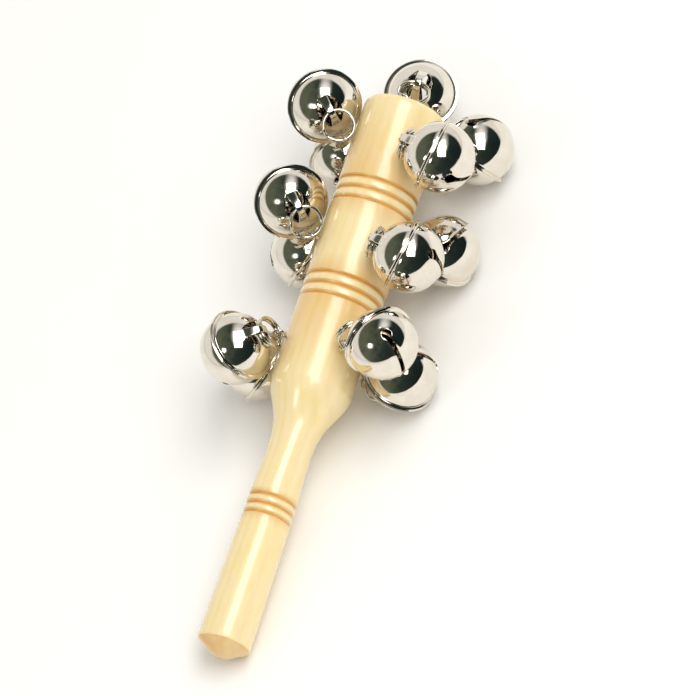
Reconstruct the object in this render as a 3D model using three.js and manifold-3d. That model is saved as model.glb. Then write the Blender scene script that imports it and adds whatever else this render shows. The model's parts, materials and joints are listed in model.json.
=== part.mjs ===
// Jingle stick: a turned wooden stick whose head carries thirteen jingle bells. Each bell hangs by
// its lanced shank on a split ring, and the ring hangs in a screw eye in the wood. The stick lies on
// a table as it is put down: on its butt and cradled between the two lower rows of bells.
// Millimetres, +Z up, the head points along +Y. Run with the npm packages three and manifold-3d.
import * as THREE from 'three';
import { mergeVertices } from 'three/addons/utils/BufferGeometryUtils.js';
import Module from 'manifold-3d';

// Stick, measured along its axis from the rim of the butt
const buttRadius = 10.2;
const buttTipRadius = 3.3;
const buttChamferLength = 4.6;
const handleGripRadius = 9.3;
const handleWaistRadius = 8.35;
const handleWaistAt = 77;
const neckLength = 27.5;
const headRadius = 15.6;
const headLength = 117;
const headEdgeRadius = 2.7;
const stickFacets = 22;
const neckPoints = 7;
const coveStart = 0.62;
const coveEnd = 0.36;
const coveRise = 2.2;
const waistRun = 9;

// Turned V-grooves, three to a group
const groovesInGroup = 3;
const grooveWidth = 2.0;
const grooveDepth = 0.9;
const handleGroovesAt = 54.6;
const handleGroovePitch = 3.7;
const headGroovesAt = [142.5, 182.3];
const headGroovePitch = 4.35;

// Bells: two sheet halves crimped together at a flange that sits nearer to the shank
const bellRadius = 13.5;
const bellWall = 0.7;
const flangeProud = 1.0;
const flangeThickness = 1.1;
const seamOffset = 3.1;
const slitWidth = 1.6;
const slitHalfAngle = 56;
const slitHoleRadius = 2.2;
const pelletRadius = 3;
const pelletClearance = 1;
const bellFacets = 14;

// Shank: a strip lanced out of the cap, with a leaf-shaped opening on each side of it
const shankOpeningLength = 12;
const shankOpeningWidth = 9.6;
const shankStripWidth = 2.6;
const shankStripThickness = 0.6;
const shankRise = 0.9;
const shankHoleClearance = 1.7;
const shankFootInset = 0.1;
const shankFootDip = 0.08;

// Split ring of two turns, and the screw eye that it hangs in
const ringWire = 1.2;
const ringMeanRadius = 5.8;
const ringTurnPitch = 1.32;
const ringCrossoverAngle = 26;
const ringJogShare = 0.6;
const ringSteps = 20;
const eyeWire = 1.0;
const eyeHoleRadius = 1.7;
const eyeShankRadius = 0.7;
const eyeShankLength = 9;
const pilotClearance = 0.3;
const eyeStandOff = 0.25;

// How far a cutter runs past the surface that it opens
const cutterOverrun = 1;

// Where the eyes sit: three tiers of four on the head, and one in the top end
const tiers = { lower: 119.5, middle: 160.5, upper: 201 };
const firstColumnAngle = 48;
const columns = 4;
const columnSpacing = 360 / columns;

// How each bell lies at rest. around is its angle about the stick from straight up, and a bell with
// onTable lies on the table instead. clear is its gap to the wood and along its shift from its eye
// towards the head, both in bell radii. turn swings its shank about the line from the bell to the
// eye, and slit is how far its lower half was turned against the upper one when they were crimped.
const touching = 0.04;
const axisAboveBells = 14.9;
const restingBells = [
  { tier: 'lower', column: 1, around: 61, clear: 0.59, along: 0, turn: 75, slit: 39 },
  { tier: 'lower', column: 2, onTable: true, clear: touching, along: 0.02, turn: 33, slit: 44 },
  { tier: 'lower', column: 3, onTable: true, clear: 0.15, along: -0.3, turn: -60, slit: 75 },
  { tier: 'lower', column: 4, around: 304, clear: 0.09, along: -0.72, turn: 63, slit: -20 },
  { tier: 'middle', column: 1, around: 63, clear: 0.28, along: -0.3, turn: -40, slit: -72 },
  { tier: 'middle', column: 2, onTable: true, clear: touching, along: 0.99, turn: -60, slit: 62 },
  { tier: 'middle', column: 3, onTable: true, clear: 0.22, along: 0.3, turn: 20, slit: 10 },
  { tier: 'middle', column: 4, around: 295, clear: touching, along: 0.98, turn: -66, slit: 60 },
  { tier: 'upper', column: 1, around: 61, clear: 0.27, along: -0.26, turn: -39, slit: 50 },
  { tier: 'upper', column: 2, onTable: true, clear: 0.07, along: 1.26, turn: -55, slit: -74 },
  { tier: 'upper', column: 3, onTable: true, clear: 0.44, along: 0.56, turn: -20, slit: -45 },
  { tier: 'upper', column: 4, around: 290, clear: touching, along: 1.04, turn: -64, slit: 25 },
];
const topBell = { around: 198, outward: 1.44, along: 0.8, turn: 0, slit: -70 };

// Sizes that follow from the driving ones
const headStart = handleWaistAt + neckLength;
const stickTop = headStart + headLength;
const flangeRadius = bellRadius + flangeProud;
const shankHoleRadius = bellRadius + shankRise;
const linkLength = 2 * ringMeanRadius;
const eyeRadius = eyeHoleRadius + eyeWire / 2;
const eyeHeight = eyeStandOff + eyeHoleRadius + eyeWire;
const degree = Math.PI / 180;

// Materials
const wood = new THREE.MeshStandardMaterial({ color: '#ecd59b', roughness: 0.28, metalness: 0 });
const nickel = new THREE.MeshStandardMaterial({ color: '#d9d6cc', roughness: 0.08, metalness: 1 });
const ringSteel = new THREE.MeshStandardMaterial({ color: '#cfcdc6', roughness: 0.15, metalness: 1 });
const eyeSteel = new THREE.MeshStandardMaterial({ color: '#c9c3b4', roughness: 0.22, metalness: 1 });
const pelletSteel = new THREE.MeshStandardMaterial({ color: '#8d8c88', roughness: 0.35, metalness: 1 });

// Solids
const wasm = await Module();
wasm.setup();

function toSolid(geometry) {
  const bare = geometry.clone();
  bare.deleteAttribute('normal');
  bare.deleteAttribute('uv');
  const merged = mergeVertices(bare, 1e-4);
  const vertProperties = new Float32Array(merged.attributes.position.array);
  const triVerts = new Uint32Array(merged.index.array);
  return new wasm.Manifold(new wasm.Mesh({ numProp: 3, vertProperties, triVerts }));
}

function toGeometry(solid) {
  const mesh = solid.getMesh();
  const geometry = new THREE.BufferGeometry();
  geometry.setAttribute('position', new THREE.BufferAttribute(new Float32Array(mesh.vertProperties), 3));
  geometry.setIndex(new THREE.BufferAttribute(new Uint32Array(mesh.triVerts), 1));
  return geometry;
}

function cutFrom(geometry, cutters) {
  return cutters.reduce((solid, cutter) => solid.subtract(toSolid(cutter)), toSolid(geometry));
}

function named(name, geometry, material) {
  const flat = geometry.index ? geometry.toNonIndexed() : geometry;
  flat.computeVertexNormals();
  const mesh = new THREE.Mesh(flat, material);
  mesh.name = name;
  return mesh;
}

// A group whose X and Z axes point the given ways, placed in its parent at the given point
function frameAt(point, xAxis, zAxis) {
  const z = zAxis.clone().normalize();
  const x = xAxis.clone().addScaledVector(z, -xAxis.dot(z)).normalize();
  const y = new THREE.Vector3().crossVectors(z, x);
  const group = new THREE.Group();
  group.quaternion.setFromRotationMatrix(new THREE.Matrix4().makeBasis(x, y, z));
  group.position.copy(point);
  return group;
}

function nestIn(parent, child) {
  parent.updateWorldMatrix(true, false);
  child.applyMatrix4(parent.matrixWorld.clone().invert());
  parent.add(child);
}

// Turned stick
function grooveGroup(centre, pitch, radiusAt) {
  const points = [];
  for (let i = 0; i < groovesInGroup; i += 1) {
    const at = centre + (i - (groovesInGroup - 1) / 2) * pitch;
    points.push([radiusAt(at - grooveWidth / 2), at - grooveWidth / 2]);
    points.push([radiusAt(at) - grooveDepth, at]);
    points.push([radiusAt(at + grooveWidth / 2), at + grooveWidth / 2]);
  }
  return points;
}

function handleRadiusAt(at) {
  const gripEnd = handleGroovesAt;
  if (at <= gripEnd) return THREE.MathUtils.mapLinear(at, 0, gripEnd, buttRadius, handleGripRadius);
  const share = THREE.MathUtils.smoothstep(at, gripEnd, handleWaistAt);
  return THREE.MathUtils.lerp(handleGripRadius, handleWaistRadius, share);
}

// The neck flares in one cove, steepest at two thirds of its length, into the edge of the head
function neckProfile() {
  const start = new THREE.Vector2(handleWaistRadius, handleWaistAt);
  const end = new THREE.Vector2(headRadius, headStart);
  const cove = new THREE.CubicBezierCurve(
    start,
    new THREE.Vector2(handleWaistRadius, handleWaistAt + neckLength * coveStart),
    new THREE.Vector2(headRadius - coveRise, headStart - neckLength * coveEnd),
    end,
  );
  return cove.getPoints(neckPoints).map((p) => [p.x, p.y]);
}

function stickProfile() {
  const headRadiusAt = () => headRadius;
  const edge = [0, 30, 60, 90].map((a) => [
    headRadius - headEdgeRadius * (1 - Math.cos(a * degree)),
    stickTop - headEdgeRadius * (1 - Math.sin(a * degree)),
  ]);
  return [
    [0, -buttChamferLength],
    [buttTipRadius, -buttChamferLength],
    [buttRadius, 0],
    ...grooveGroup(handleGroovesAt, handleGroovePitch, handleRadiusAt),
    [handleRadiusAt(handleWaistAt - waistRun), handleWaistAt - waistRun],
    ...neckProfile(),
    ...grooveGroup(headGroovesAt[0], headGroovePitch, headRadiusAt),
    ...grooveGroup(headGroovesAt[1], headGroovePitch, headRadiusAt),
    ...edge,
    [0, stickTop],
  ].map(([r, y]) => new THREE.Vector2(r, y));
}

// A round bar from one point along a direction, for pilot holes and eye shanks
function barAlong(point, direction, radius, length, sides) {
  const bar = new THREE.CylinderGeometry(radius, radius, length, sides);
  bar.translate(0, length / 2, 0);
  const up = new THREE.Vector3(0, 1, 0);
  bar.applyQuaternion(new THREE.Quaternion().setFromUnitVectors(up, direction));
  bar.translate(point.x, point.y, point.z);
  return bar;
}

function turnedStick(eyes) {
  const blank = new THREE.LatheGeometry(stickProfile(), stickFacets);
  const pilots = eyes.map(({ centre, outward }) => {
    const start = centre.clone().addScaledVector(outward, cutterOverrun - eyeHeight);
    const depth = eyeShankLength + pilotClearance + cutterOverrun;
    const inward = outward.clone().negate();
    return barAlong(start, inward, eyeShankRadius + pilotClearance, depth, 6);
  });
  return named('turned_stick', toGeometry(cutFrom(blank, pilots)), wood);
}

// Bell shell in its own frame: centre at the origin, shank towards +Z, slit towards -Z, and the
// ring passes under the shank along X
function bellOutline() {
  const seamTop = seamOffset + flangeThickness / 2;
  const seamBottom = seamOffset - flangeThickness / 2;
  const onSphere = (angle) => {
    const radians = angle * degree;
    return [bellRadius * Math.cos(radians), bellRadius * Math.sin(radians)];
  };
  const angleOf = (height) => Math.asin(height / bellRadius) / degree;
  const cup = [-68, -45, -18].map(onSphere);
  const cap = [38, 67].map(onSphere);
  return [
    [0, -bellRadius],
    ...cup,
    onSphere(angleOf(seamBottom)),
    [flangeRadius, seamBottom],
    [flangeRadius, seamTop],
    onSphere(angleOf(seamTop)),
    ...cap,
    [0, bellRadius],
  ].map(([r, y]) => new THREE.Vector2(r, y));
}

function leafOpening() {
  const halfLength = shankOpeningLength / 2;
  const halfWidth = shankOpeningWidth / 2;
  const lens = new THREE.Shape();
  lens.moveTo(0, -halfLength);
  lens.quadraticCurveTo(2 * halfWidth, 0, 0, halfLength);
  lens.quadraticCurveTo(-2 * halfWidth, 0, 0, -halfLength);
  const options = { depth: bellRadius, bevelEnabled: false, curveSegments: 3 };
  const cutter = new THREE.ExtrudeGeometry(lens, options);
  cutter.translate(0, 0, bellRadius / 2);
  return cutter;
}

function slitCutters() {
  const reach = bellRadius * Math.sin(slitHalfAngle * degree);
  const depth = bellRadius * (1 - Math.cos(slitHalfAngle * degree)) + cutterOverrun;
  const slot = new THREE.BoxGeometry(2 * reach, slitWidth, depth);
  slot.translate(0, 0, -bellRadius - cutterOverrun + depth / 2);
  const centre = new THREE.Vector3();
  const ends = [-1, 1].map((side) => {
    const angle = side * slitHalfAngle * degree;
    const outward = new THREE.Vector3(Math.sin(angle), 0, -Math.cos(angle));
    return barAlong(centre, outward, slitHoleRadius, bellRadius + cutterOverrun, 5);
  });
  return [slot, ...ends];
}

// The strip is an arch in the YZ plane whose feet end inside the wall of the cap
function shankStrip() {
  const halfSpan = shankOpeningLength / 2 - shankFootInset;
  const footHeight = Math.sqrt(bellRadius ** 2 - halfSpan ** 2);
  const crown = shankHoleRadius + shankHoleClearance;
  const sagitta = crown - footHeight;
  const inner = (halfSpan ** 2 + sagitta ** 2) / (2 * sagitta);
  const outer = inner + shankStripThickness;
  const centreHeight = crown - inner;
  const foot = Math.asin((footHeight - centreHeight) / inner) - shankFootDip;
  const arch = new THREE.Shape();
  arch.absarc(0, centreHeight, outer, foot, Math.PI - foot, false);
  arch.absarc(0, centreHeight, inner, Math.PI - foot, foot, true);
  const options = { depth: shankStripWidth, bevelEnabled: false, curveSegments: 3 };
  const strip = new THREE.ExtrudeGeometry(arch, options);
  strip.translate(0, 0, -shankStripWidth / 2);
  strip.rotateX(Math.PI / 2);
  strip.rotateZ(Math.PI / 2);
  return strip;
}

function bellShell(slitTurn) {
  const outside = new THREE.LatheGeometry(bellOutline(), bellFacets).rotateX(Math.PI / 2);
  const inside = new THREE.SphereGeometry(bellRadius - bellWall, 8, 6).rotateX(Math.PI / 2);
  const slit = slitCutters().map((cutter) => cutter.rotateZ(slitTurn * degree));
  const shell = cutFrom(outside, [inside, leafOpening(), ...slit]);
  return toGeometry(shell.add(toSolid(shankStrip())));
}

// Split ring about the origin in its XZ plane, one side at -Z in the eye and the other at +Z in
// the shank. Each turn lies flat, and the wire crosses from one to the other at the +X side.
class RingWire extends THREE.Curve {
  getPoint(t, target = new THREE.Vector3()) {
    const angle = THREE.MathUtils.lerp(ringCrossoverAngle, 720 - ringCrossoverAngle, t);
    const jog = ringCrossoverAngle * ringJogShare;
    const share = THREE.MathUtils.smoothstep(angle, 360 - jog, 360 + jog);
    const y = (share - 0.5) * ringTurnPitch;
    const radians = angle * degree;
    return target.set(ringMeanRadius * Math.cos(radians), y, ringMeanRadius * Math.sin(radians));
  }
}

function splitRing() {
  const section = new THREE.Shape();
  const half = ringWire / 2;
  section.moveTo(half, 0);
  section.lineTo(0, half);
  section.lineTo(-half, 0);
  section.lineTo(0, -half);
  section.closePath();
  const options = { steps: ringSteps, extrudePath: new RingWire(), bevelEnabled: false };
  return new THREE.ExtrudeGeometry(section, options);
}

// Screw eye about the centre of its hole: the hole runs along X and the shank goes down -Z
function screwEye() {
  const loop = new THREE.TorusGeometry(eyeRadius, eyeWire / 2, 4, 11).rotateY(Math.PI / 2);
  const start = new THREE.Vector3(0, 0, -eyeRadius);
  const length = eyeHeight + eyeShankLength - eyeRadius;
  const shank = barAlong(start, new THREE.Vector3(0, 0, -1), eyeShankRadius, length, 5);
  return toGeometry(toSolid(loop).add(toSolid(shank)));
}

// Places about the stick. Its axis is Y here, X is to the right and Z is up.
function around(angle, radius, along) {
  return new THREE.Vector3(Math.sin(angle * degree) * radius, along, Math.cos(angle * degree) * radius);
}

// The shank of a bell at the given centre: the ring spans from it to the eye, so bell, eye and
// shank form a triangle, and turn swings the triangle about the line from bell to eye
function hangFrom(eye, centre, outward, turn) {
  const toEye = eye.clone().sub(centre);
  const distance = toEye.length();
  toEye.normalize();
  const cosine = (distance ** 2 + shankHoleRadius ** 2 - linkLength ** 2) / (2 * distance * shankHoleRadius);
  const away = outward.clone().addScaledVector(toEye, -outward.dot(toEye)).normalize();
  const side = new THREE.Vector3().crossVectors(toEye, away);
  const swing = away.multiplyScalar(Math.cos(turn * degree)).addScaledVector(side, Math.sin(turn * degree));
  const pole = toEye.multiplyScalar(cosine).addScaledVector(swing, Math.sqrt(1 - cosine ** 2));
  const shank = centre.clone().addScaledVector(pole, shankHoleRadius);
  return { centre, pole, shank };
}

// The stick leans on the flanges of the lower bells, so its lift follows from their size
const cradleHeight = bellRadius + axisAboveBells;
const lift = Math.asin((cradleHeight - buttRadius) / tiers.middle);
const up = new THREE.Vector3(0, Math.sin(lift), Math.cos(lift));

// How far a bell reaches below its centre, at its body or at its flange
function reachBelow(pole) {
  const slope = pole.dot(up);
  return Math.max(bellRadius, flangeRadius * Math.sqrt(1 - slope ** 2) - seamOffset * slope);
}

function placeOnTable(place) {
  const side = Math.sign(Math.sin((firstColumnAngle + (place.column - 1) * columnSpacing) * degree));
  let high = 90;
  let low = 180;
  let hung;
  for (let i = 0; i < 30; i += 1) {
    const angle = (high + low) / 2;
    hung = placeAt(place, side * angle);
    const height = hung.centre.dot(up) + buttRadius * Math.cos(lift) - reachBelow(hung.pole);
    if (height > 0) high = angle;
    else low = angle;
  }
  return hung;
}

function placeAt(place, angle) {
  const eye = eyeOf(place).centre;
  const beside = headRadius + flangeRadius + place.clear * bellRadius;
  const centre = around(angle, beside, tiers[place.tier] + place.along * bellRadius);
  return hangFrom(eye, centre, around(angle, 1, 0), place.turn);
}

function eyeOf(place) {
  const angle = firstColumnAngle + (place.column - 1) * columnSpacing;
  return { centre: around(angle, headRadius + eyeHeight, tiers[place.tier]), outward: around(angle, 1, 0) };
}

function topEye() {
  const outward = new THREE.Vector3(0, 1, 0);
  return { centre: new THREE.Vector3(0, stickTop + eyeHeight, 0), outward };
}

function placeTopBell() {
  const height = stickTop + eyeHeight + topBell.along * bellRadius;
  const centre = around(topBell.around, topBell.outward * bellRadius, height);
  return hangFrom(topEye().centre, centre, new THREE.Vector3(0, 1, 0), topBell.turn);
}

// One bell with its eye, ring and pellet, each in the frame that it turns about
const shared = { ring: splitRing(), eye: screwEye() };
const pelletShape = new THREE.SphereGeometry(pelletRadius, 8, 4);

function hangBell(stick, label, eye, hung, slitTurn) {
  const link = hung.shank.clone().sub(eye.centre);
  const ringAxis = new THREE.Vector3().crossVectors(hung.pole, link).normalize();
  const eyeFrame = frameAt(eye.centre, ringAxis, eye.outward);
  eyeFrame.add(named(`screw_eye_${label}`, shared.eye, eyeSteel));
  stick.add(eyeFrame);

  const ringFrame = frameAt(eye.centre, ringAxis, link);
  const ring = named(`split_ring_${label}`, shared.ring, ringSteel);
  ring.position.z = ringMeanRadius;
  ringFrame.add(ring);
  stick.add(ringFrame);

  const bellFrame = frameAt(hung.shank, ringAxis, hung.pole);
  const bell = named(`bell_${label}`, bellShell(slitTurn), nickel);
  bell.position.z = -shankHoleRadius;
  const pellet = named(`pellet_${label}`, pelletShape, pelletSteel);
  const pelletRest = bellRadius - bellWall - pelletRadius - pelletClearance;
  const downward = up.clone().negate().applyQuaternion(bellFrame.quaternion.clone().invert());
  pellet.position.copy(downward.multiplyScalar(pelletRest)).add(bell.position);
  bellFrame.add(bell, pellet);
  stick.add(bellFrame);
  nestIn(ringFrame, bellFrame);
}

const stick = new THREE.Group();
const eyes = [...restingBells.map(eyeOf), topEye()];
stick.add(turnedStick(eyes));
for (const place of restingBells) {
  const hung = place.onTable ? placeOnTable(place) : placeAt(place, place.around);
  hangBell(stick, `${place.tier}_${place.column}`, eyeOf(place), hung, place.slit);
}
hangBell(stick, 'top', topEye(), placeTopBell(), topBell.slit);

// Laid on the table: the origin is under the middle of the whole object
stick.rotation.x = lift;
const jingleStick = new THREE.Group();
jingleStick.add(stick);
const extent = new THREE.Box3().setFromObject(jingleStick, true);
const middle = extent.getCenter(new THREE.Vector3());
stick.position.set(-middle.x, -middle.y, -extent.min.z);
jingleStick.updateMatrixWorld(true);

export default jingleStick;
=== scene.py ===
# Jingle stick: a turned, lacquered stick with thirteen nickel bells on split rings and screw eyes.
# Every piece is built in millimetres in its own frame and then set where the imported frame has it.
import json
import math

import bmesh
import bpy
from mathutils import Matrix, Vector, noise


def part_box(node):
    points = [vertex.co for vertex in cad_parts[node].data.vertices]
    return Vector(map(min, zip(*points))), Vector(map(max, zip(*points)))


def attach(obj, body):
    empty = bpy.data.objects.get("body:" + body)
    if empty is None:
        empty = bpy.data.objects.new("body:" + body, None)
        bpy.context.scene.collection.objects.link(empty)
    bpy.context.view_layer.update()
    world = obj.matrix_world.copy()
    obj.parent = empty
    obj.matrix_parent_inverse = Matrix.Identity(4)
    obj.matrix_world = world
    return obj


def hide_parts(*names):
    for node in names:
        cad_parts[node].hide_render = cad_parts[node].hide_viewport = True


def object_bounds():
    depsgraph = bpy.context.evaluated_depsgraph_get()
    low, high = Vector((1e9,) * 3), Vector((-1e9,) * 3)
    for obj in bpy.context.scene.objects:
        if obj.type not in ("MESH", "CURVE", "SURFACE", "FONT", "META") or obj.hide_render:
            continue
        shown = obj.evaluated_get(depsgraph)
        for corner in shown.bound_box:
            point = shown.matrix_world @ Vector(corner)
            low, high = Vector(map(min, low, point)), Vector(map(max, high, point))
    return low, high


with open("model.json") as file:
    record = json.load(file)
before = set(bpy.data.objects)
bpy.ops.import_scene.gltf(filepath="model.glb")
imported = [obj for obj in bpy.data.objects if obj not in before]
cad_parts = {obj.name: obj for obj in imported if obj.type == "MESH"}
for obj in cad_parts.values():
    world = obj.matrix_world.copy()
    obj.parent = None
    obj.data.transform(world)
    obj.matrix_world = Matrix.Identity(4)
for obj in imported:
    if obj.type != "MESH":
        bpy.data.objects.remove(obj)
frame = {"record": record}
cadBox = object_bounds()
millimetre = 0.001


# Shader tools
def linearColour(code):
    channels = [int(code[i:i + 2], 16) / 255 for i in (1, 3, 5)]
    linear = [c / 12.92 if c <= 0.04045 else ((c + 0.055) / 1.055) ** 2.4 for c in channels]
    return (*linear, 1.0)


def addNode(tree, kind, settings=None, links=None):
    # settings go on the node itself, links on its sockets: a socket is joined, a value is set
    node = tree.nodes.new(kind)
    for name, value in (settings or {}).items():
        setattr(node, name, value)
    for name, value in (links or {}).items():
        if isinstance(value, bpy.types.NodeSocket):
            tree.links.new(value, node.inputs[name])
        else:
            node.inputs[name].default_value = value
    return node


def colourRamp(tree, value, stops):
    node = addNode(tree, "ShaderNodeValToRGB", None, {"Fac": value})
    ramp = node.color_ramp
    while len(ramp.elements) < len(stops):
        ramp.elements.new(1.0)
    for element, (position, code) in zip(ramp.elements, stops):
        element.position = position
        element.color = linearColour(code)
    return node.outputs["Color"]


def mixedColour(tree, factor, first, second):
    mix = addNode(tree, "ShaderNodeMix", {"data_type": "RGBA"}, {
        "Factor": factor, "A": first, "B": second})
    return mix.outputs["Result"]


def noisePattern(tree, space, scale, detail, roughness=0.5):
    pattern = addNode(tree, "ShaderNodeTexNoise", None, {
        "Vector": space, "Scale": scale, "Detail": detail, "Roughness": roughness})
    return pattern.outputs["Fac"]


def newSurface(name):
    material = bpy.data.materials.new(name)
    material.use_nodes = True
    tree = material.node_tree
    place = addNode(tree, "ShaderNodeTexCoord")
    return material, tree, tree.nodes["Principled BSDF"], place.outputs["Object"]


def addRelief(tree, shader, height, strength, depth):
    # depth in mm
    relief = addNode(tree, "ShaderNodeBump", None, {
        "Height": height, "Strength": strength, "Distance": depth * millimetre})
    tree.links.new(relief.outputs["Normal"], shader.inputs["Normal"])


def setSurface(shader, values):
    for name, value in values.items():
        shader.inputs[name].default_value = value


# Sizes in mm and degrees. Names that end in Share, Reach or Power are plain factors and exponents,
# and those that end in Steps or Sides count the steps of a round shape.
stickSizes = {
    "buttRadius": 10.2, "buttTipRadius": 3.3, "buttChamfer": 4.6, "buttEdge": 0.7,
    "tipInset": 0.2, "tipRise": 0.15, "gripRadius": 9.3, "waistRadius": 8.35, "waistAt": 77.0,
    "neckLength": 27.5, "coveStartShare": 0.62, "coveEndShare": 0.36, "coveRise": 2.2,
    "neckEase": 0.35, "neckDip": 0.02, "headRadius": 15.6, "headLength": 117.0, "headEdge": 2.7,
    "grooveWidth": 2.0, "grooveDepth": 0.9, "beadPower": 0.8,
    # a group of three grooves: height of the middle one and pitch
    "handleGrooves": (54.6, 3.7), "headGrooves": ((142.5, 4.35), (182.3, 4.35)),
    # plain rows between the shaped stretches, and rings on the flat end
    "gripRows": range(2, 50, 3), "waistRows": range(61, 77, 3), "headRows": range(155, 172, 5),
    "endRings": (9.0, 4.0, 0),
    "sharpAngle": 50, "sides": 160, "grooveSteps": 64, "neckSteps": 24, "easeSteps": 5, "rimSteps": 8,
}
bellSizes = {
    "radius": 13.4, "wall": 0.7, "platedShare": 0.7, "seamOffset": 3.1, "seamGap": 0.01,
    "seamLap": 0.05, "flangeProud": 0.8, "flangeThickness": 1.1, "lipRound": 0.2,
    "rootIn": 0.12, "rootOut": 0.08, "rootRise": 0.16, "outsideStart": 0.7, "insideStart": 0.1,
    "slitWidth": 1.6, "slitHalfAngle": 56.0, "slitHole": 2.2, "holeShare": 0.93,
    "shoulder": 4.4, "shoulderPower": 2.2, "bladeReach": (0.45, 1.3), "bladeTip": 0.02,
    "openingLength": 12.0, "openingWidth": 9.6, "openingReach": (0.5, 1.4),
    "rimWidth": 1.3, "slitRim": 0.3, "leafRim": 0.08, "leafShare": 0.8, "rimReach": 0.8,
    "stripWidth": 2.6, "stripFlare": 0.7, "stripThickness": 0.66, "stripRoot": 1.2,
    "stripSink": 0.04, "stripMargin": 0.05, "stripPower": 0.5,
    "shankCrown": 16.7, "archPower": 1.4, "cutEdge": 0.12, "cutAngle": 60, "cutSteps": 2,
    "sharpAngle": 40, "sides": 132, "rowAngle": 2.4, "leafSteps": 24, "slitSteps": 60,
    "holeSteps": 9, "archSteps": 56, "stripSides": 32,
}
# How far each bell's lower half was turned against the upper one when the two were crimped
slitTurns = {
    "lower_1": 39, "lower_2": 44, "lower_3": 75, "lower_4": -20,
    "middle_1": -72, "middle_2": 62, "middle_3": 10, "middle_4": 60,
    "upper_1": 50, "upper_2": -74, "upper_3": -45, "upper_4": 25, "top": -70,
}
ringSizes = {
    "wire": 1.2, "radius": 5.8, "turns": 2, "turnPitch": 1.32, "endAngle": 26.0, "jogShare": 0.6,
    "sharpAngle": 60, "wireSides": 14, "pathSteps": 150,
}
eyeSizes = {
    "wire": 1.0, "hole": 1.7, "shankLength": 9.0, "standOff": 0.25, "openingAngle": 24.0,
    "bendDrop": 0.2, "bendShift": 0.02, "shankStart": 1.2, "lastRow": 1.5, "footGap": 0.3,
    "sharpAngle": 60, "wireSides": 12, "loopSteps": 40,
}
pelletSizes = {
    "radius": 3.0, "rest": 8.8, "dent": 0.12, "dentScale": 0.8, "sharpAngle": 60, "divisionSteps": 3,
}
stickTop = stickSizes["waistAt"] + stickSizes["neckLength"] + stickSizes["headLength"]

# Frames of the pieces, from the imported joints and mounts
joints = {joint["name"]: joint for joint in frame["record"]["behaviour"]["joints"]}
mounts = {mount["name"]: mount for mount in frame["record"]["mounts"]}
tiers, columns = ("lower", "middle", "upper"), (1, 2, 3, 4)
labels = [f"{tier}_{column}" for tier in tiers for column in columns] + ["top"]


def axesAt(point, xAxis, zAxis):
    z = zAxis.normalized()
    x = (xAxis - z * xAxis.dot(z)).normalized()
    y = z.cross(x)
    turn = Matrix((x, y, z)).transposed().to_4x4()
    return Matrix.Translation(point) @ turn @ Matrix.Scale(millimetre, 4)


buttMount = mounts["butt_end"]
stickAxis = -Vector(buttMount["axis"])
buttRim = Vector(buttMount["pos_m"]) + stickAxis * stickSizes["buttChamfer"] * millimetre
stickFrame = axesAt(buttRim, Vector((1, 0, 0)), stickAxis)  # +Z runs from the butt to the head


def framesOf(label):
    ringJoint = joints[f"ring_swing_{label}"]
    bellJoint = joints[f"bell_swing_{label}"]
    pelletJoint = joints[f"pellet_roll_{label}"]
    eyePoint, shankPoint = Vector(ringJoint["pos_m"]), Vector(bellJoint["pos_m"])
    hinge = Vector(ringJoint["axis"])
    low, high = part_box(f"pellet_{label}")
    pelletPoint = (low + high) / 2
    reach = Vector(pelletJoint["axis"]) * pelletSizes["rest"] * millimetre
    bellCentre = pelletPoint + reach
    outward = stickAxis
    if label != "top":
        fromRim = eyePoint - buttRim
        outward = fromRim - stickAxis * fromRim.dot(stickAxis)
    return {
        "eye": axesAt(eyePoint, hinge, outward),
        "ring": axesAt((eyePoint + shankPoint) / 2, hinge, shankPoint - eyePoint),
        "bell": axesAt(bellCentre, hinge, shankPoint - bellCentre),
        "pellet": axesAt(pelletPoint, hinge, reach),
    }


# Mesh tools
def meshFrom(name, vertices, faces):
    mesh = bpy.data.meshes.new(name)
    mesh.from_pydata([tuple(v) for v in vertices], [], faces)
    mesh.validate()
    return mesh


def smoothShade(mesh, sharpAngle):
    mesh.polygons.foreach_set("use_smooth", [True] * len(mesh.polygons))
    mesh.set_sharp_from_angle(angle=math.radians(sharpAngle))


def turned(name, outline, sides):
    # revolves (radius, height) points, which run upwards on the outside, about Z; a radius of 0
    # closes an end
    vertices, rings = [], []
    for radius, height in outline:
        count = 1 if radius == 0 else sides
        rings.append(range(len(vertices), len(vertices) + count))
        for i in range(count):
            angle = math.tau * i / sides
            vertices.append((radius * math.cos(angle), radius * math.sin(angle), height))
    faces = []
    for below, above in zip(rings, rings[1:]):
        for i in range(sides):
            corners = [below[i % len(below)], below[(i + 1) % len(below)],
                       above[(i + 1) % len(above)], above[i % len(above)]]
            faces.append(list(dict.fromkeys(corners)))
    return meshFrom(name, vertices, faces)


def swept(name, path, section, side):
    # carries a closed section of (side, up) points along an open path without twisting it
    points = [Vector(p) for p in path]
    last = len(points) - 1
    vertices = []
    for i, point in enumerate(points):
        along = (points[min(i + 1, last)] - points[max(i - 1, 0)]).normalized()
        side = (side - along * side.dot(along)).normalized()
        up = along.cross(side)
        vertices += [point + side * across + up * rise for across, rise in section]
    steps = len(section)
    faces = []
    for i in range(last):
        first, second = i * steps, (i + 1) * steps
        for j in range(steps):
            k = (j + 1) % steps
            faces.append([first + j, first + k, second + k, second + j])
    faces.append(list(range(steps))[::-1])
    faces.append([last * steps + j for j in range(steps)])
    return meshFrom(name, vertices, faces)


def roundSection(radius, sides):
    angles = [math.tau * i / sides for i in range(sides)]
    return [(radius * math.cos(angle), radius * math.sin(angle)) for angle in angles]


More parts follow.
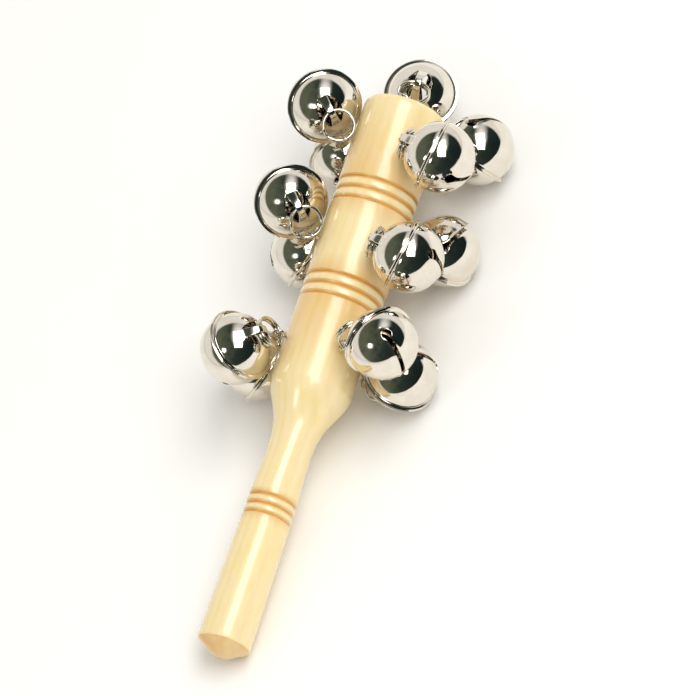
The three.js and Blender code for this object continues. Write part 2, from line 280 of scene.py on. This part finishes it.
def prism(name, outline, low, high):
    # a straight bar along Z with the given outline
    count = len(outline)
    vertices = [(x, y, z) for z in (low, high) for x, y in outline]
    faces = [list(range(count))[::-1], [count + i for i in range(count)]]
    for i in range(count):
        k = (i + 1) % count
        faces.append([i, k, count + k, count + i])
    return meshFrom(name, vertices, faces)


def joined(name, meshes):
    builder = bmesh.new()
    for mesh in meshes:
        builder.from_mesh(mesh)
    result = bpy.data.meshes.new(name)
    builder.to_mesh(result)
    builder.free()
    return result


def cutAway(mesh, cutter):
    # Boolean difference with a closed cutter. Tumbling rounds the cut edges, which then glint.
    blank = bpy.data.objects.new("blank", mesh)
    tool = bpy.data.objects.new("cutter", cutter)
    for piece in (blank, tool):
        bpy.context.collection.objects.link(piece)
    cut = blank.modifiers.new("cut", "BOOLEAN")
    cut.operation, cut.solver, cut.object = "DIFFERENCE", "EXACT", tool
    burr = blank.modifiers.new("burr", "BEVEL")
    burr.width, burr.segments = bellSizes["cutEdge"], bellSizes["cutSteps"]
    burr.limit_method, burr.angle_limit = "ANGLE", math.radians(bellSizes["cutAngle"])
    graph = bpy.context.evaluated_depsgraph_get()
    result = bpy.data.meshes.new_from_object(blank.evaluated_get(graph))
    for piece in (blank, tool):
        bpy.data.objects.remove(piece)
    return result


def placed(name, mesh, matrix, materials, node, body):
    # the mesh is moved into the row frame, so the piece's object sits at the origin as a node's does
    own = mesh.copy()
    own.name = name
    own.transform(matrix)
    own.materials.clear()
    for material in materials:
        own.materials.append(material)
    piece = bpy.data.objects.new(name, own)
    bpy.context.collection.objects.link(piece)
    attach(piece, body)
    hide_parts(node)


# Materials
def lacqueredWood():
    # Pale hardwood such as birch, lathe-turned and clear-lacquered: fine silky grain along the
    # stick, faint growth bands and a wet gloss on top
    material, tree, shader, place = newSurface("lacquered turned birch")
    fibreWidth, poreLength, bandWidth, mottleSize, cloudSize = 0.4, 4.0, 3.2, 5.0, 11.1  # mm
    ringsBeside = (21.0, 4.0, 0.0)  # mm from the middle of the growth rings to the stick's axis
    bandStretch, mottleStretch = 0.05, 0.4  # scale along the stick, where patterns run long
    waveRepeat = 0.314  # from ring to ring in the wave pattern at a scale of 1
    along = addNode(tree, "ShaderNodeMapping", {"vector_type": "TEXTURE"}, {
        "Vector": place, "Location": buttRim, "Rotation": stickFrame.to_euler(),
        "Scale": (millimetre,) * 3})
    stickSpace = along.outputs["Vector"]
    bandSpace = addNode(tree, "ShaderNodeMapping", None, {
        "Vector": stickSpace, "Location": ringsBeside, "Scale": (1.0, 1.0, bandStretch)})
    fibreSpace = addNode(tree, "ShaderNodeMapping", None, {
        "Vector": stickSpace, "Scale": (1.0, 1.0, fibreWidth / poreLength)})
    mottleSpace = addNode(tree, "ShaderNodeMapping", None, {
        "Vector": stickSpace, "Scale": (1.0, 1.0, mottleStretch)})
    bands = addNode(tree, "ShaderNodeTexWave", {"wave_type": "RINGS", "rings_direction": "Z"}, {
        "Vector": bandSpace.outputs["Vector"], "Scale": waveRepeat / bandWidth,
        "Distortion": 3.2, "Detail": 3.0, "Detail Scale": 0.6})
    fibres = noisePattern(tree, fibreSpace.outputs["Vector"], 1 / fibreWidth, 4.0,
                          roughness=0.6)
    clouds = noisePattern(tree, bandSpace.outputs["Vector"], 1 / cloudSize, 2.0)
    mottle = noisePattern(tree, mottleSpace.outputs["Vector"], 1 / mottleSize, 3.0)
    bandTone = colourRamp(tree, bands.outputs["Fac"], [
        (0.0, "#f2e4bc"), (0.6, "#f0e0b4"), (1.0, "#ecd7a6")])
    fibreTone = colourRamp(tree, fibres, [(0.28, "#e6cd98"), (0.45, "#efdfb4"), (0.72, "#f6ebca")])
    # soft yellow and pinkish patches, a few millimetres across, from the way the fibres lie
    mottleTone = colourRamp(tree, mottle, [(0.36, "#f0da9f"), (0.5, "#f1e2b6"), (0.64, "#f2dcbe")])
    figure = mixedColour(tree, 0.4, bandTone, fibreTone)
    grain = mixedColour(tree, 0.45, figure, mottleTone)
    # A cut end or a groove shows the open grain, which takes up more lacquer and turns golden
    cut = addNode(tree, "ShaderNodeAttribute", {"attribute_name": "openGrain"})
    stain = addNode(tree, "ShaderNodeMath", {"operation": "MULTIPLY"}, {
        0: cut.outputs["Fac"], 1: clouds})
    stainShare = addNode(tree, "ShaderNodeMath", {"operation": "MULTIPLY", "use_clamp": True}, {
        0: stain.outputs["Value"], 1: 1.7})
    tone = mixedColour(tree, stainShare.outputs["Value"], grain, linearColour("#dba95c"))
    tree.links.new(tone, shader.inputs["Base Color"])
    gloss = addNode(tree, "ShaderNodeMapRange", None, {
        "Value": fibres, "To Min": 0.34, "To Max": 0.5})
    tree.links.new(gloss.outputs["Result"], shader.inputs["Roughness"])
    addRelief(tree, shader, fibres, strength=0.12, depth=0.05)
    setSurface(shader, {"IOR": 1.5, "Coat Weight": 1.0, "Coat Roughness": 0.17, "Coat IOR": 1.55,
                        "Coat Tint": linearColour("#fffaea")})
    return material


def brightNickel(name, code, roughness, dullRoughness):
    # Deep-drawn steel sheet or wire, bright nickel plated: a mirror with a faint warm tone, finger
    # haze and the slight waviness that forming leaves
    material, tree, shader, place = newSurface(name)
    hazeSize, waveSize = 5.0, 3.2  # mm
    haze = noisePattern(tree, place, 1 / (hazeSize * millimetre), 6.0, roughness=0.65)
    waves = noisePattern(tree, place, 1 / (waveSize * millimetre), 1.0)
    dull = addNode(tree, "ShaderNodeMapRange", None, {
        "Value": haze, "From Min": 0.42, "From Max": 0.75, "To Min": roughness,
        "To Max": dullRoughness})
    tone = colourRamp(tree, haze, [(0.4, code), (0.85, "#dad1c0")])
    tree.links.new(tone, shader.inputs["Base Color"])
    tree.links.new(dull.outputs["Result"], shader.inputs["Roughness"])
    addRelief(tree, shader, waves, strength=0.5, depth=0.05)
    setSurface(shader, {"Metallic": 1.0})
    return material


def rawSteel():
    # Inside of the pressed shell and the pellet: plain drawn steel that plating barely reaches
    material, tree, shader, place = newSurface("drawn steel, unplated")
    scaleSize = 1.2  # mm
    scale = noisePattern(tree, place, 1 / (scaleSize * millimetre), 4.0)
    tone = colourRamp(tree, scale, [(0.3, "#3d3a33"), (0.7, "#6c675c")])
    tree.links.new(tone, shader.inputs["Base Color"])
    addRelief(tree, shader, scale, strength=0.3, depth=0.04)
    setSurface(shader, {"Metallic": 1.0, "Roughness": 0.42})
    return material


woodFinish = lacqueredWood()
bellFinish = brightNickel("bright nickel plate on pressed steel", "#e9e3d8", 0.05, 0.1)
wireFinish = brightNickel("bright nickel plate on steel wire", "#ded7c8", 0.1, 0.2)
steelFinish = rawSteel()
print("materials made")


# Turned stick
def smoothStep(t):
    return t * t * (3 - 2 * t)


def curvePoint(points, t):
    # a point of the Bezier curve over the given points
    while len(points) > 1:
        points = [near.lerp(far, t) for near, far in zip(points, points[1:])]
    return points[0]


def handleRadius(at):
    size = stickSizes
    gripEnd = size["handleGrooves"][0]
    if at <= gripEnd:
        return size["buttRadius"] + (size["gripRadius"] - size["buttRadius"]) * at / gripEnd
    t = (at - gripEnd) / (size["waistAt"] - gripEnd)
    return size["gripRadius"] + (size["waistRadius"] - size["gripRadius"]) * smoothStep(t)


def grooveDepthAt(away, reach):
    # a sharp cut with round shoulders: full depth in the middle and none at reach
    t = min(1.0, abs(away) / reach)
    rounded = 1 - math.sqrt(1 - (1 - t) ** 2)
    return stickSizes["grooveDepth"] * rounded ** stickSizes["beadPower"]


def grooveOutline(centre, pitch, radiusAt):
    # three cuts with round beads between them, as a beading tool leaves them
    size = stickSizes
    half, steps = size["grooveWidth"] / 2, size["grooveSteps"]
    cuts = [centre - pitch, centre, centre + pitch]
    points = []
    for i in range(steps + 1):
        at = cuts[0] - half + (2 * pitch + 2 * half) * i / steps
        nearest = min(cuts, key=lambda cut: abs(at - cut))
        between = cuts[0] < at < cuts[2]
        depth = grooveDepthAt(at - nearest, pitch / 2 if between else half)
        points.append((radiusAt(at) - depth, at))
    return points


def neckOutline():
    size = stickSizes
    start, length, steps = size["waistAt"], size["neckLength"], size["neckSteps"]
    controls = [
        Vector((size["waistRadius"], start)),
        Vector((size["waistRadius"], start + length * size["coveStartShare"])),
        Vector((size["headRadius"] - size["coveRise"], start + length * (1 - size["coveEndShare"]))),
        Vector((size["headRadius"], start + length)),
    ]
    points = [curvePoint(controls, i / steps) for i in range(steps + 1)]
    # the cove and the head meet at a soft corner: close points keep its highlight narrow
    corner = points.pop()
    slope = (corner - points[-1]).normalized() * size["neckEase"]
    points += [corner - slope, Vector((corner.x - size["neckDip"], corner.y)),
               Vector((corner.x, corner.y + size["neckEase"]))]
    return [tuple(p) for p in points]


def buttOutline():
    # flat tip, chamfer, and the rim between the chamfer and the handle, which sanding has eased
    size = stickSizes
    tip, chamfer, edge = size["buttTipRadius"], size["buttChamfer"], size["buttEdge"]
    slope = math.atan2(chamfer, size["buttRadius"] - tip)
    controls = [
        Vector((size["buttRadius"] - edge * math.cos(slope), -edge * math.sin(slope))),
        Vector((size["buttRadius"], 0)),
        Vector((handleRadius(edge), edge)),
    ]
    points = [(0, -chamfer), (tip - size["tipInset"], -chamfer),
              (tip + size["tipInset"], size["tipRise"] - chamfer)]
    steps = size["easeSteps"]
    return points + [tuple(curvePoint(controls, i / steps)) for i in range(steps + 1)]


def headOutline():
    # two groups of grooves on the plain head, a rounded rim and the flat end
    size = stickSizes
    radius, edge, steps = size["headRadius"], size["headEdge"], size["rimSteps"]
    points = [(radius, at) for at in size["headRows"]]
    for centre, pitch in size["headGrooves"]:
        points += grooveOutline(centre, pitch, lambda at: radius)
    points.sort(key=lambda p: p[1])
    for i in range(steps + 1):
        angle = math.radians(90 * i / steps)
        points.append((radius - edge * (1 - math.cos(angle)),
                       stickTop - edge * (1 - math.sin(angle))))
    return points + [(ring, stickTop) for ring in size["endRings"]]


def stickOutline():
    size = stickSizes
    grip = [(handleRadius(at), at) for at in size["gripRows"]]
    waist = [(handleRadius(at), at) for at in size["waistRows"]]
    grooves = grooveOutline(*size["handleGrooves"], handleRadius)
    return buttOutline() + grip + grooves + waist + neckOutline() + headOutline()


# How much of the open grain shows: most in a groove, less on the chamfer, little on the head's end
openGrain = {
    "chamfer": 0.75, "chamferBelow": -0.1, "end": 0.12, "endDepth": 0.3,
    "grooveReach": 1.35, "grooveGain": 1.5,
}


def openGrainAt(height):
    grain, half = openGrain, stickSizes["grooveWidth"] / 2
    if height <= grain["chamferBelow"]:
        return grain["chamfer"]
    if height > stickTop - grain["endDepth"]:
        return grain["end"]
    for centre, pitch in (stickSizes["handleGrooves"], *stickSizes["headGrooves"]):
        for number in (-1, 0, 1):
            reach = abs(height - centre - number * pitch) / half
            if reach < grain["grooveReach"]:
                return min(1.0, grain["grooveGain"] * (grain["grooveReach"] - reach))
    return 0.0


def makeStick():
    mesh = turned("stick", stickOutline(), stickSizes["sides"])
    smoothShade(mesh, stickSizes["sharpAngle"])
    grain = mesh.attributes.new("openGrain", "FLOAT", "POINT")
    grain.data.foreach_set("value", [openGrainAt(vertex.co.z) for vertex in mesh.vertices])
    placed("stick_turned_wood", mesh, stickFrame, [woodFinish], "turned_stick", "root")


makeStick()
print("stick turned")


# Bell shell, centred on the origin with its shank towards +Z and its slit towards -Z along X
onAxis = 1e-6  # mm, a radius below this counts as 0


def leafEdges(y):
    # a leaf's inner and outer edge beside the strip: they meet in a point at each end
    size = bellSizes
    share = (y / (size["openingLength"] / 2)) ** 2
    inner = size["stripWidth"] / 2 + size["stripFlare"] * share
    bulge = size["openingWidth"] / 2 - size["stripWidth"] / 2
    return inner, inner + bulge * max(0.0, 1 - share)


def slitDirection(angle):
    # from the bell's middle, at an angle in degrees from -Z towards X
    turn = math.radians(angle)
    return Vector((math.sin(turn), 0, -math.cos(turn)))


def slitHalfWidthAt(angle):
    # the slit widens into its end hole over a short shoulder, so the hole is shaped like a drop
    size = bellSizes
    away = math.radians(size["slitHalfAngle"] - angle) * size["radius"]
    t = max(0.0, min(1.0, (size["shoulder"] - away) / size["shoulder"]))
    narrow, wide = size["slitWidth"] / 2, size["slitHole"] * size["holeShare"]
    return narrow + (wide - narrow) * t ** size["shoulderPower"]


def edgeDistance(point):
    # how far a point of the shell is from the nearest edge that is turned outwards, in mm
    size = bellSizes
    x, y, half = abs(point.x), abs(point.y), size["openingLength"] / 2
    if point.z > 0:
        inner, outer = leafEdges(y)
        if x < inner + size["stripMargin"] and y < half + size["rimWidth"]:
            return size["rimWidth"]
        tip = math.hypot(x - leafEdges(half)[0], y - half)
        return min((x - outer) * size["leafShare"], tip) if y < half else tip
    angle = math.degrees(math.atan2(x, -point.z))
    holeCentre = slitDirection(size["slitHalfAngle"]) * size["radius"]
    toHole = (Vector((x, point.y, point.z)) - holeCentre).length - size["slitHole"]
    if angle < size["slitHalfAngle"]:
        return min(toHole, y - slitHalfWidthAt(angle))
    return toHole


def sphereArc(radius, fromAngle, toAngle):
    # points of a sphere's outline between two latitudes, about rowAngle apart
    steps = max(2, round(abs(toAngle - fromAngle) / bellSizes["rowAngle"]))
    points = []
    for i in range(steps + 1):
        angle = math.radians(fromAngle + (toAngle - fromAngle) * i / steps)
        across = radius * math.cos(angle)
        points.append((0 if abs(across) < onAxis else across, radius * math.sin(angle)))
    return points


def halfOutline(side):
    # outline of one pressed half, wall and flange lip: side is 1 for the cap and -1 for the cup
    size = bellSizes
    radius, inner = size["radius"], size["radius"] - size["wall"]
    seam, lip, ease = size["seamOffset"], radius + size["flangeProud"], size["lipRound"]
    face = seam + side * size["flangeThickness"] / 2
    join = seam + side * size["seamGap"]
    root = math.sqrt(radius ** 2 - face ** 2)
    flange = [
        (root - size["rootIn"], face + side * size["rootRise"]), (root + size["rootOut"], face),
        (lip - ease, face), (lip, face - side * ease),
        (lip, seam + side * ease), (lip - ease, join),
        (math.sqrt(inner ** 2 - seam ** 2) + size["seamLap"], join),
    ]
    rootAngle = math.degrees(math.asin((face + side * size["outsideStart"]) / radius))
    seamAngle = math.degrees(math.asin((seam + side * size["insideStart"]) / inner))
    outline = sphereArc(radius, side * 90, rootAngle) + flange + sphereArc(inner, seamAngle, side * 90)
    return outline if side < 0 else outline[::-1]


def shankCutter():
    # both leaves and what lies between them, where the lanced strip then goes
    size = bellSizes
    half, steps = size["openingLength"] / 2, size["leafSteps"]
    rows = [half * (2 * i / steps - 1) for i in range(steps + 1)]
    outline = [(leafEdges(y)[1], y) for y in rows] + [(-leafEdges(y)[1], y) for y in reversed(rows)]
    low, high = (size["radius"] * share for share in size["openingReach"])
    return prism("opening", outline, low, high)


def slitStations():
    # (angle, half width) of the slit from one end hole to the other
    size = bellSizes
    reach, steps, holeSteps = size["slitHalfAngle"], size["slitSteps"], size["holeSteps"]
    angles = [-reach + 2 * reach * i / steps for i in range(steps + 1)]
    stations = [(angle, slitHalfWidthAt(abs(angle))) for angle in angles]
    holeAngle = math.degrees(size["slitHole"] / size["radius"])
    for i in range(1, holeSteps + 1):
        turn = math.radians(90 * i / holeSteps)
        angle = reach + holeAngle * math.sin(turn)
        half = max(size["slitHole"] * size["holeShare"] * math.cos(turn), size["bladeTip"])
        stations = [(-angle, half), *stations, (angle, half)]
    return stations


def slitCutter():
    # a blade from the middle of the bell outwards: its edge lines fan out over the slit's angle
    size = bellSizes
    stations = slitStations()
    vertices, faces = [], []
    for angle, half in stations:
        for share in size["bladeReach"]:
            point = slitDirection(angle) * size["radius"] * share
            vertices += [(point.x, -half, point.z), (point.x, half, point.z)]
    for i in range(len(stations) - 1):
        a, b = 4 * i, 4 * (i + 1)
        faces += [[a, b, b + 1, a + 1], [a + 2, a + 3, b + 3, b + 2],
                  [a, a + 2, b + 2, b], [a + 1, b + 1, b + 3, a + 3]]
    last = 4 * (len(stations) - 1)
    faces += [[0, 1, 3, 2], [last, last + 2, last + 3, last + 1]]
    mesh = meshFrom("slit", vertices, faces)
    builder = bmesh.new()
    builder.from_mesh(mesh)
    bmesh.ops.recalc_face_normals(builder, faces=builder.faces)
    builder.to_mesh(mesh)
    builder.free()
    return mesh


def stripSection():
    # a rolled strip: flat faces with well rounded edges
    size = bellSizes
    section = []
    for i in range(size["stripSides"]):
        turn = math.tau * i / size["stripSides"]
        across, rise = math.cos(turn), math.sin(turn)
        section.append((
            math.copysign(abs(across) ** size["stripPower"], across) * size["stripWidth"] / 2,
            math.copysign(abs(rise) ** size["stripPower"], rise) * size["stripThickness"] / 2))
    return section


def archedStrip():
    # the strip between the leaves is drawn out into an arch, which the split ring goes under. Its
    # ends run on inside the wall of the cap.
    size = bellSizes
    half, steps = size["openingLength"] / 2, size["archSteps"]
    rooted = half + size["stripRoot"]
    middle = size["radius"] - size["stripThickness"] / 2
    lift = size["shankCrown"] - size["radius"]
    path = []
    for i in range(steps + 1):
        y = rooted * (2 * i / steps - 1)
        rise = -size["stripSink"]
        if abs(y) < half:
            rise = lift * (1 - (y / half) ** 2) ** size["archPower"]
        path.append((0, y, math.sqrt(middle ** 2 - y * y) + rise))
    strip = swept("strip", path, stripSection(), Vector((1, 0, 0)))
    for vertex in strip.vertices:
        inner = leafEdges(min(abs(vertex.co.y), half))[0]
        vertex.co.x *= inner / (size["stripWidth"] / 2)
    return strip


def raiseRims(mesh):
    # pressing the openings turns their edges outwards a little
    size = bellSizes
    for vertex in mesh.vertices:
        away = edgeDistance(vertex.co)
        if away < size["rimWidth"] and vertex.co.length > size["radius"] * size["rimReach"]:
            t = max(0.0, min(1.0, 1 - away / size["rimWidth"]))
            height = size["leafRim"] if vertex.co.z > 0 else size["slitRim"]
            vertex.co += vertex.co.normalized() * height * t * t


def pressedHalf(side, cutter):
    size = bellSizes
    half = turned("half", halfOutline(side), size["sides"])
    half.materials.append(bellFinish)
    half.materials.append(steelFinish)
    plated = size["radius"] - size["wall"] * size["platedShare"]
    for polygon in half.polygons:
        polygon.material_index = int(polygon.center.length < plated)
    shell = cutAway(half, cutter)
    raiseRims(shell)
    return shell


cupMesh = pressedHalf(-1, slitCutter())
capMesh = joined("cap", [pressedHalf(1, shankCutter()), archedStrip()])
print("bell halves pressed:", len(cupMesh.polygons) + len(capMesh.polygons), "faces")


def bellMeshOf(label):
    turnedCup = cupMesh.copy()
    turnedCup.transform(Matrix.Rotation(math.radians(slitTurns[label]), 4, "Z"))
    mesh = joined("bell", [capMesh, turnedCup])
    smoothShade(mesh, bellSizes["sharpAngle"])
    return mesh


# Split ring: two turns of wire, each flat, with a jog from one to the other. Y is its thin way.
def makeRingMesh():
    size = ringSizes
    first, last = size["endAngle"], 360 * size["turns"] - size["endAngle"]
    middle, jog = (first + last) / 2, size["endAngle"] * size["jogShare"]
    path = []
    for i in range(size["pathSteps"] + 1):
        angle = first + (last - first) * i / size["pathSteps"]
        turn = math.radians(angle)
        t = max(0.0, min(1.0, (angle - middle + jog) / (2 * jog)))
        path.append((size["radius"] * math.cos(turn), (smoothStep(t) - 0.5) * size["turnPitch"],
                     size["radius"] * math.sin(turn)))
    section = roundSection(size["wire"] / 2, size["wireSides"])
    mesh = swept("ring", path, section, Vector((0, 1, 0)))
    smoothShade(mesh, size["sharpAngle"])
    return mesh


# Screw eye about the middle of its hole: the hole runs along X and the shank goes down -Z
def makeEyeMesh():
    size = eyeSizes
    radius = size["hole"] + size["wire"] / 2
    foot = size["standOff"] + size["hole"] + size["wire"] + size["shankLength"]
    path = []
    for i in range(size["loopSteps"] + 1):
        sweep = (360 - size["openingAngle"]) * i / size["loopSteps"]
        angle = math.radians(size["openingAngle"] - 90 + sweep)
        path.append((0, radius * math.cos(angle), radius * math.sin(angle)))
    path.append((0, size["bendShift"], -radius - size["bendDrop"]))
    shank = (-radius - size["shankStart"], size["lastRow"] - foot, size["footGap"] - foot)
    path += [(0, 0, height) for height in shank]
    section = roundSection(size["wire"] / 2, size["wireSides"])
    mesh = swept("eye", path, section, Vector((1, 0, 0)))
    smoothShade(mesh, size["sharpAngle"])
    return mesh


def makePelletMesh():
    # a cropped slug of steel rod, tumbled until it is nearly round
    size = pelletSizes
    builder = bmesh.new()
    bmesh.ops.create_icosphere(
        builder, subdivisions=size["divisionSteps"], radius=size["radius"] - size["dent"])
    for vertex in builder.verts:
        dent = noise.noise(vertex.co * size["dentScale"]) * size["dent"]
        vertex.co += vertex.co.normalized() * dent
    mesh = bpy.data.meshes.new("pellet")
    builder.to_mesh(mesh)
    builder.free()
    smoothShade(mesh, size["sharpAngle"])
    return mesh


ringMesh, eyeMesh, pelletMesh = makeRingMesh(), makeEyeMesh(), makePelletMesh()
for label in labels:
    at = framesOf(label)
    placed(f"eye_wire_{label}", eyeMesh, at["eye"], [wireFinish], f"screw_eye_{label}", "root")
    placed(f"ring_wire_{label}", ringMesh, at["ring"], [wireFinish], f"split_ring_{label}",
           f"ring_body_{label}")
    placed(f"bell_shell_{label}", bellMeshOf(label), at["bell"], [bellFinish, steelFinish],
           f"bell_{label}", f"bell_body_{label}")
    placed(f"pellet_slug_{label}", pelletMesh, at["pellet"], [steelFinish], f"pellet_{label}",
           f"pellet_body_{label}")
print("bells hung:", len(labels))

# Camera at the photograph's angle. The photograph is square and was taken from far away, so a long
# lens keeps the stick's sides nearly parallel. Right and up are its own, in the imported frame.
view = {
    "right": Vector((0.8722, 0.3466, -0.3450)), "up": Vector((-0.1250, 0.8399, 0.5281)),
    "imageSide": 696, "sizeOfPixel": 0.368, "buttRimPixel": (223.5, 644.7),
    "focalPixels": 12000.0, "sensor": 36.0, "clip": (0.1, 20.0),
}


def addCamera():
    right = view["right"].normalized()
    back = right.cross(view["up"]).normalized()
    up = back.cross(right)
    pixel, half = view["sizeOfPixel"] * millimetre, view["imageSide"] / 2
    distance = view["focalPixels"] * pixel
    column, row = view["buttRimPixel"]
    middle = buttRim + right * (half - column) * pixel + up * (row - half) * pixel
    data = bpy.data.cameras.new("camera")
    data.sensor_width = view["sensor"]
    data.lens = view["focalPixels"] * view["sensor"] / view["imageSide"]
    data.clip_start, data.clip_end = view["clip"]
    camera = bpy.data.objects.new("camera", data)
    bpy.context.collection.objects.link(camera)
    turn = Matrix((right, up, back)).transposed().to_4x4()
    camera.matrix_world = Matrix.Translation(middle + back * distance) @ turn
    bpy.context.scene.camera = camera
    bpy.context.scene.view_settings.view_transform = "Standard"
    return right, up, back


right, up, back = addCamera()

# Studio: white paper on the table and behind it, a dim room, and the soft boxes that show as bright
# windows in the bells. Directions are given in the photograph: right, up and towards the camera.
studio = {
    "floorSide": 6.0, "floorDrop": 0.0002, "floorColour": "#f7f6f3",
    "paperFibres": 900.0,  # per metre
    "backdropColour": "#f4f2ee", "ambient": 0.68,
    "roomColours": [(0.1, "#5f6655"), (0.5, "#2e3834"), (0.9, "#182524")],
    "roomCentre": (-0.05, 0.18, 1.0), "roomEdge": (0.1, 0.24),
    "patchScale": 2.3, "patchShare": 0.5,
    # middle and half size of the glow round each bright window, across and up in the room
    "glows": [((0.1, 0.6), (0.4, 0.62)), ((-0.62, -0.1), (0.2, 0.2))],
    "glowColour": "#ffffff", "glowCore": 0.35,
    "boxes": [
        # name, direction, distance, width and height in metres, watts
        ("window", (0.12, 0.5, 0.86), 1.5, (0.72, 1.5), 15.0),
        ("lamp", (-0.62, -0.08, 0.78), 1.6, (0.26, 0.26), 1.6),
    ],
}


def fromPhotograph(acrossShare, upShare, backShare):
    return (right * acrossShare + up * upShare + back * backShare).normalized()


def addFloor():
    material, tree, shader, place = newSurface("matt white paper")
    fibres = noisePattern(tree, place, studio["paperFibres"], 2.0)
    addRelief(tree, shader, fibres, strength=0.05, depth=0.2)
    setSurface(shader, {"Base Color": linearColour(studio["floorColour"]), "Roughness": 0.85})
    half = studio["floorSide"] / 2
    corners = [(-half, -half, 0), (half, -half, 0), (half, half, 0), (-half, half, 0)]
    mesh = meshFrom("floor", corners, [[0, 1, 2, 3]])
    mesh.materials.append(material)
    floor = bpy.data.objects.new("floor", mesh)
    bpy.context.collection.objects.link(floor)
    floor.location.z = -studio["floorDrop"]


def addLights():
    aim = (cadBox[0] + cadBox[1]) / 2
    for name, direction, distance, (width, height), power in studio["boxes"]:
        way = fromPhotograph(*direction)
        across = up.cross(way).normalized()
        data = bpy.data.lights.new(name, "AREA")
        data.shape = "RECTANGLE"
        data.size, data.size_y = width, height
        data.energy = power
        lamp = bpy.data.objects.new(name, data)
        bpy.context.collection.objects.link(lamp)
        turn = Matrix((across, way.cross(across), way)).transposed().to_4x4()
        lamp.matrix_world = Matrix.Translation(aim + way * distance) @ turn
        lamp.visible_camera = False


def shareAlong(tree, place, direction):
    share = addNode(tree, "ShaderNodeVectorMath", {"operation": "DOT_PRODUCT"}, {
        0: place, 1: direction})
    return share.outputs["Value"]


def roomColour(tree, place, across):
    # greenish grey on the left, dark on the right, with soft patches
    patches = noisePattern(tree, place, studio["patchScale"], 2.0)
    shade = addNode(tree, "ShaderNodeMapRange", None, {
        "Value": across, "From Min": -1.0, "From Max": 1.0})
    uneven = addNode(tree, "ShaderNodeMath", {"operation": "MULTIPLY_ADD"}, {
        0: patches, 1: studio["patchShare"], 2: shade.outputs["Result"]})
    shifted = addNode(tree, "ShaderNodeMath", {"operation": "SUBTRACT"}, {
        0: uneven.outputs["Value"], 1: studio["patchShare"] / 2})
    return colourRamp(tree, shifted.outputs["Value"], studio["roomColours"])


def withGlows(tree, colour, across, upwards):
    inRoom = addNode(tree, "ShaderNodeCombineXYZ", None, {"X": across, "Y": upwards})
    for (acrossAt, upAt), (width, height) in studio["glows"]:
        fromMiddle = addNode(tree, "ShaderNodeVectorMath", {"operation": "SUBTRACT"}, {
            0: inRoom.outputs["Vector"], 1: (acrossAt, upAt, 0.0)})
        shrunk = addNode(tree, "ShaderNodeVectorMath", {"operation": "DIVIDE"}, {
            0: fromMiddle.outputs["Vector"], 1: (width, height, 1.0)})
        away = addNode(tree, "ShaderNodeVectorMath", {"operation": "LENGTH"}, {
            0: shrunk.outputs["Vector"]})
        glow = addNode(tree, "ShaderNodeMapRange", {"interpolation_type": "SMOOTHERSTEP"}, {
            "Value": away.outputs["Value"], "From Min": 1.0, "From Max": studio["glowCore"]})
        colour = mixedColour(
            tree, glow.outputs["Result"], colour, linearColour(studio["glowColour"]))
    return colour


def addRoom():
    # The world is the pale backdrop, which lights the scene evenly. In reflections its side behind
    # the camera is a dim room with a glow round each bright window.
    world = bpy.data.worlds.new("room")
    bpy.context.scene.world = world
    world.use_nodes = True
    tree = world.node_tree
    backdrop = tree.nodes["Background"]
    place = addNode(tree, "ShaderNodeTexCoord").outputs["Generated"]
    across, upwards = shareAlong(tree, place, right), shareAlong(tree, place, up)
    towards = shareAlong(tree, place, fromPhotograph(*studio["roomCentre"]))
    low, high = studio["roomEdge"]
    edge = addNode(tree, "ShaderNodeMapRange", {"interpolation_type": "SMOOTHSTEP"}, {
        "Value": towards, "From Min": low, "From Max": high})
    dim = withGlows(tree, roomColour(tree, place, across), across, upwards)
    ray = addNode(tree, "ShaderNodeLightPath")
    shown = addNode(tree, "ShaderNodeMath", {"operation": "MULTIPLY"}, {
        0: edge.outputs["Result"], 1: ray.outputs["Is Glossy Ray"]})
    colour = mixedColour(
        tree, shown.outputs["Value"], linearColour(studio["backdropColour"]), dim)
    tree.links.new(colour, backdrop.inputs["Color"])
    strength = addNode(tree, "ShaderNodeMath", {"operation": "MULTIPLY_ADD"}, {
        0: ray.outputs["Is Diffuse Ray"], 1: studio["ambient"] - 1.0, 2: 1.0})
    tree.links.new(strength.outputs["Value"], backdrop.inputs["Strength"])


addFloor()
addLights()
addRoom()
print("studio lit")
